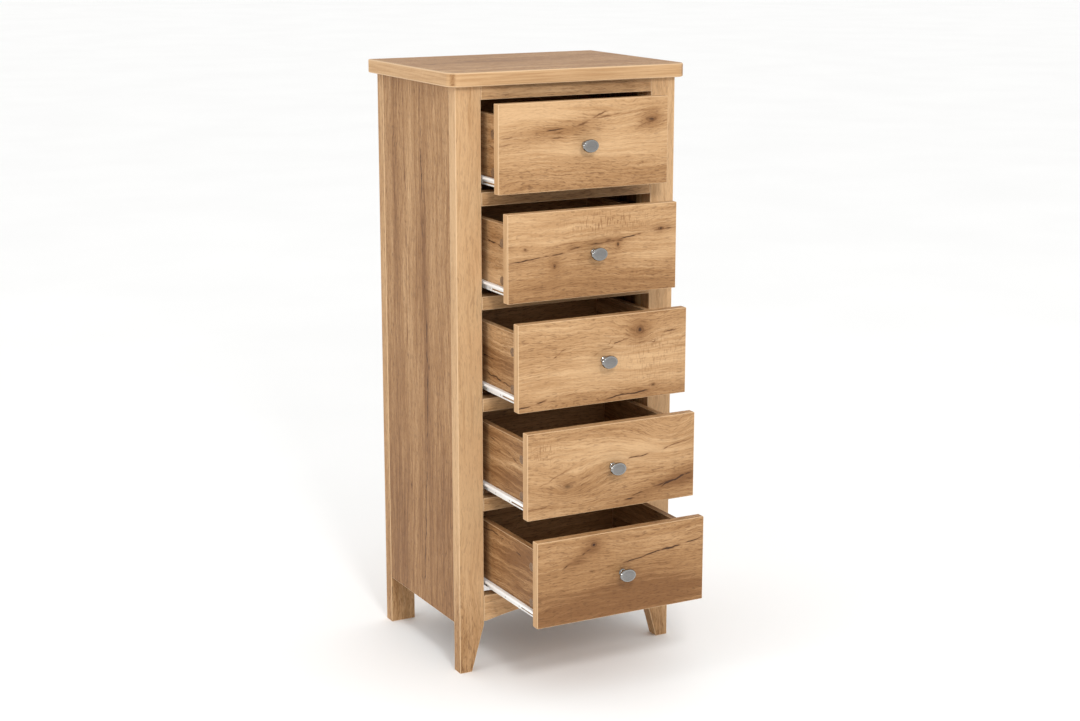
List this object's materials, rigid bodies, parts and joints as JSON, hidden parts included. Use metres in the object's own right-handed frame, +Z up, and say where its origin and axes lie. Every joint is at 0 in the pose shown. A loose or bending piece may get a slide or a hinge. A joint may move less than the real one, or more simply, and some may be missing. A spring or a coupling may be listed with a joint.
{
  "type": "tall chest of drawers",
  "caption": "Tall narrow oak-effect chest with inset drawers on roller runners, oval metal knobs, tapered front legs and a rounded overhanging top, drawers pulled out in a stagger.",
  "frame": {"origin": "on the floor, on the chest's middle plane, halfway between the foremost knob of the open drawers and the back edge of the top", "axes": "+X to the right of somebody facing the drawers, +Y towards the wall behind, +Z up; the drawers pull out along -Y"},
  "size_m": [0.48, 0.5752, 1.11],
  "materials": {
    "oak_case": "satin oak-effect foil",
    "oak_drawer_front": "satin oak-effect foil with knots, grain along the width",
    "oak_drawer_box": "satin oak-effect foil, grain along the depth",
    "hardboard": "thin wood-effect faced hardboard, matt",
    "softwood_batten": "sawn, unfinished",
    "runner_steel": "white epoxy powder coat, with white nylon rollers",
    "knob_metal": "satin nickel, brushed face and bright rim"
  },
  "bodies": {
    "root": {"top_panel": "oak_case", "front_left_leg": "oak_case", "front_right_leg": "oak_case", "rear_left_leg": "oak_case", "rear_right_leg": "oak_case", "left_side_panel": "oak_case", "right_side_panel": "oak_case", "left_front_post": "softwood_batten", "right_front_post": "softwood_batten", "left_rear_post": "softwood_batten", "right_rear_post": "softwood_batten", "top_rail": "oak_case", "divider_rail_1": "oak_case", "divider_rail_2": "oak_case", "divider_rail_3": "oak_case", "divider_rail_4": "oak_case", "bottom_rail": "oak_case", "rear_top_rail": "oak_case", "rear_bottom_rail": "oak_case", "back_panel": "hardboard", "left_cabinet_runner_1": "runner_steel", "right_cabinet_runner_1": "runner_steel", "left_cabinet_runner_2": "runner_steel", "right_cabinet_runner_2": "runner_steel", "left_cabinet_runner_3": "runner_steel", "right_cabinet_runner_3": "runner_steel", "left_cabinet_runner_4": "runner_steel", "right_cabinet_runner_4": "runner_steel", "left_cabinet_runner_5": "runner_steel", "right_cabinet_runner_5": "runner_steel"},
    "drawer_1": {"drawer_1_front": "oak_drawer_front", "drawer_1_box": "oak_drawer_box", "drawer_1_bottom": "hardboard", "drawer_1_knob": "knob_metal", "drawer_1_left_runner": "runner_steel", "drawer_1_right_runner": "runner_steel"},
    "drawer_2": {"drawer_2_front": "oak_drawer_front", "drawer_2_box": "oak_drawer_box", "drawer_2_bottom": "hardboard", "drawer_2_knob": "knob_metal", "drawer_2_left_runner": "runner_steel", "drawer_2_right_runner": "runner_steel"},
    "drawer_3": {"drawer_3_front": "oak_drawer_front", "drawer_3_box": "oak_drawer_box", "drawer_3_bottom": "hardboard", "drawer_3_knob": "knob_metal", "drawer_3_left_runner": "runner_steel", "drawer_3_right_runner": "runner_steel"},
    "drawer_4": {"drawer_4_front": "oak_drawer_front", "drawer_4_box": "oak_drawer_box", "drawer_4_bottom": "hardboard", "drawer_4_knob": "knob_metal", "drawer_4_left_runner": "runner_steel", "drawer_4_right_runner": "runner_steel"},
    "drawer_5": {"drawer_5_front": "oak_drawer_front", "drawer_5_box": "oak_drawer_box", "drawer_5_bottom": "hardboard", "drawer_5_knob": "knob_metal", "drawer_5_left_runner": "runner_steel", "drawer_5_right_runner": "runner_steel"}
  },
  "joints": [
    {"name": "drawer_1_slide", "type": "slide", "parent": "root", "child": "drawer_1", "axis": [0, -1, 0], "range_m": [-0.063, 0.177]},
    {"name": "drawer_2_slide", "type": "slide", "parent": "root", "child": "drawer_2", "axis": [0, -1, 0], "range_m": [-0.097, 0.143]},
    {"name": "drawer_3_slide", "type": "slide", "parent": "root", "child": "drawer_3", "axis": [0, -1, 0], "range_m": [-0.136, 0.104]},
    {"name": "drawer_4_slide", "type": "slide", "parent": "root", "child": "drawer_4", "axis": [0, -1, 0], "range_m": [-0.17, 0.07]},
    {"name": "drawer_5_slide", "type": "slide", "parent": "root", "child": "drawer_5", "axis": [0, -1, 0], "range_m": [-0.207, 0.033]}
  ]
}
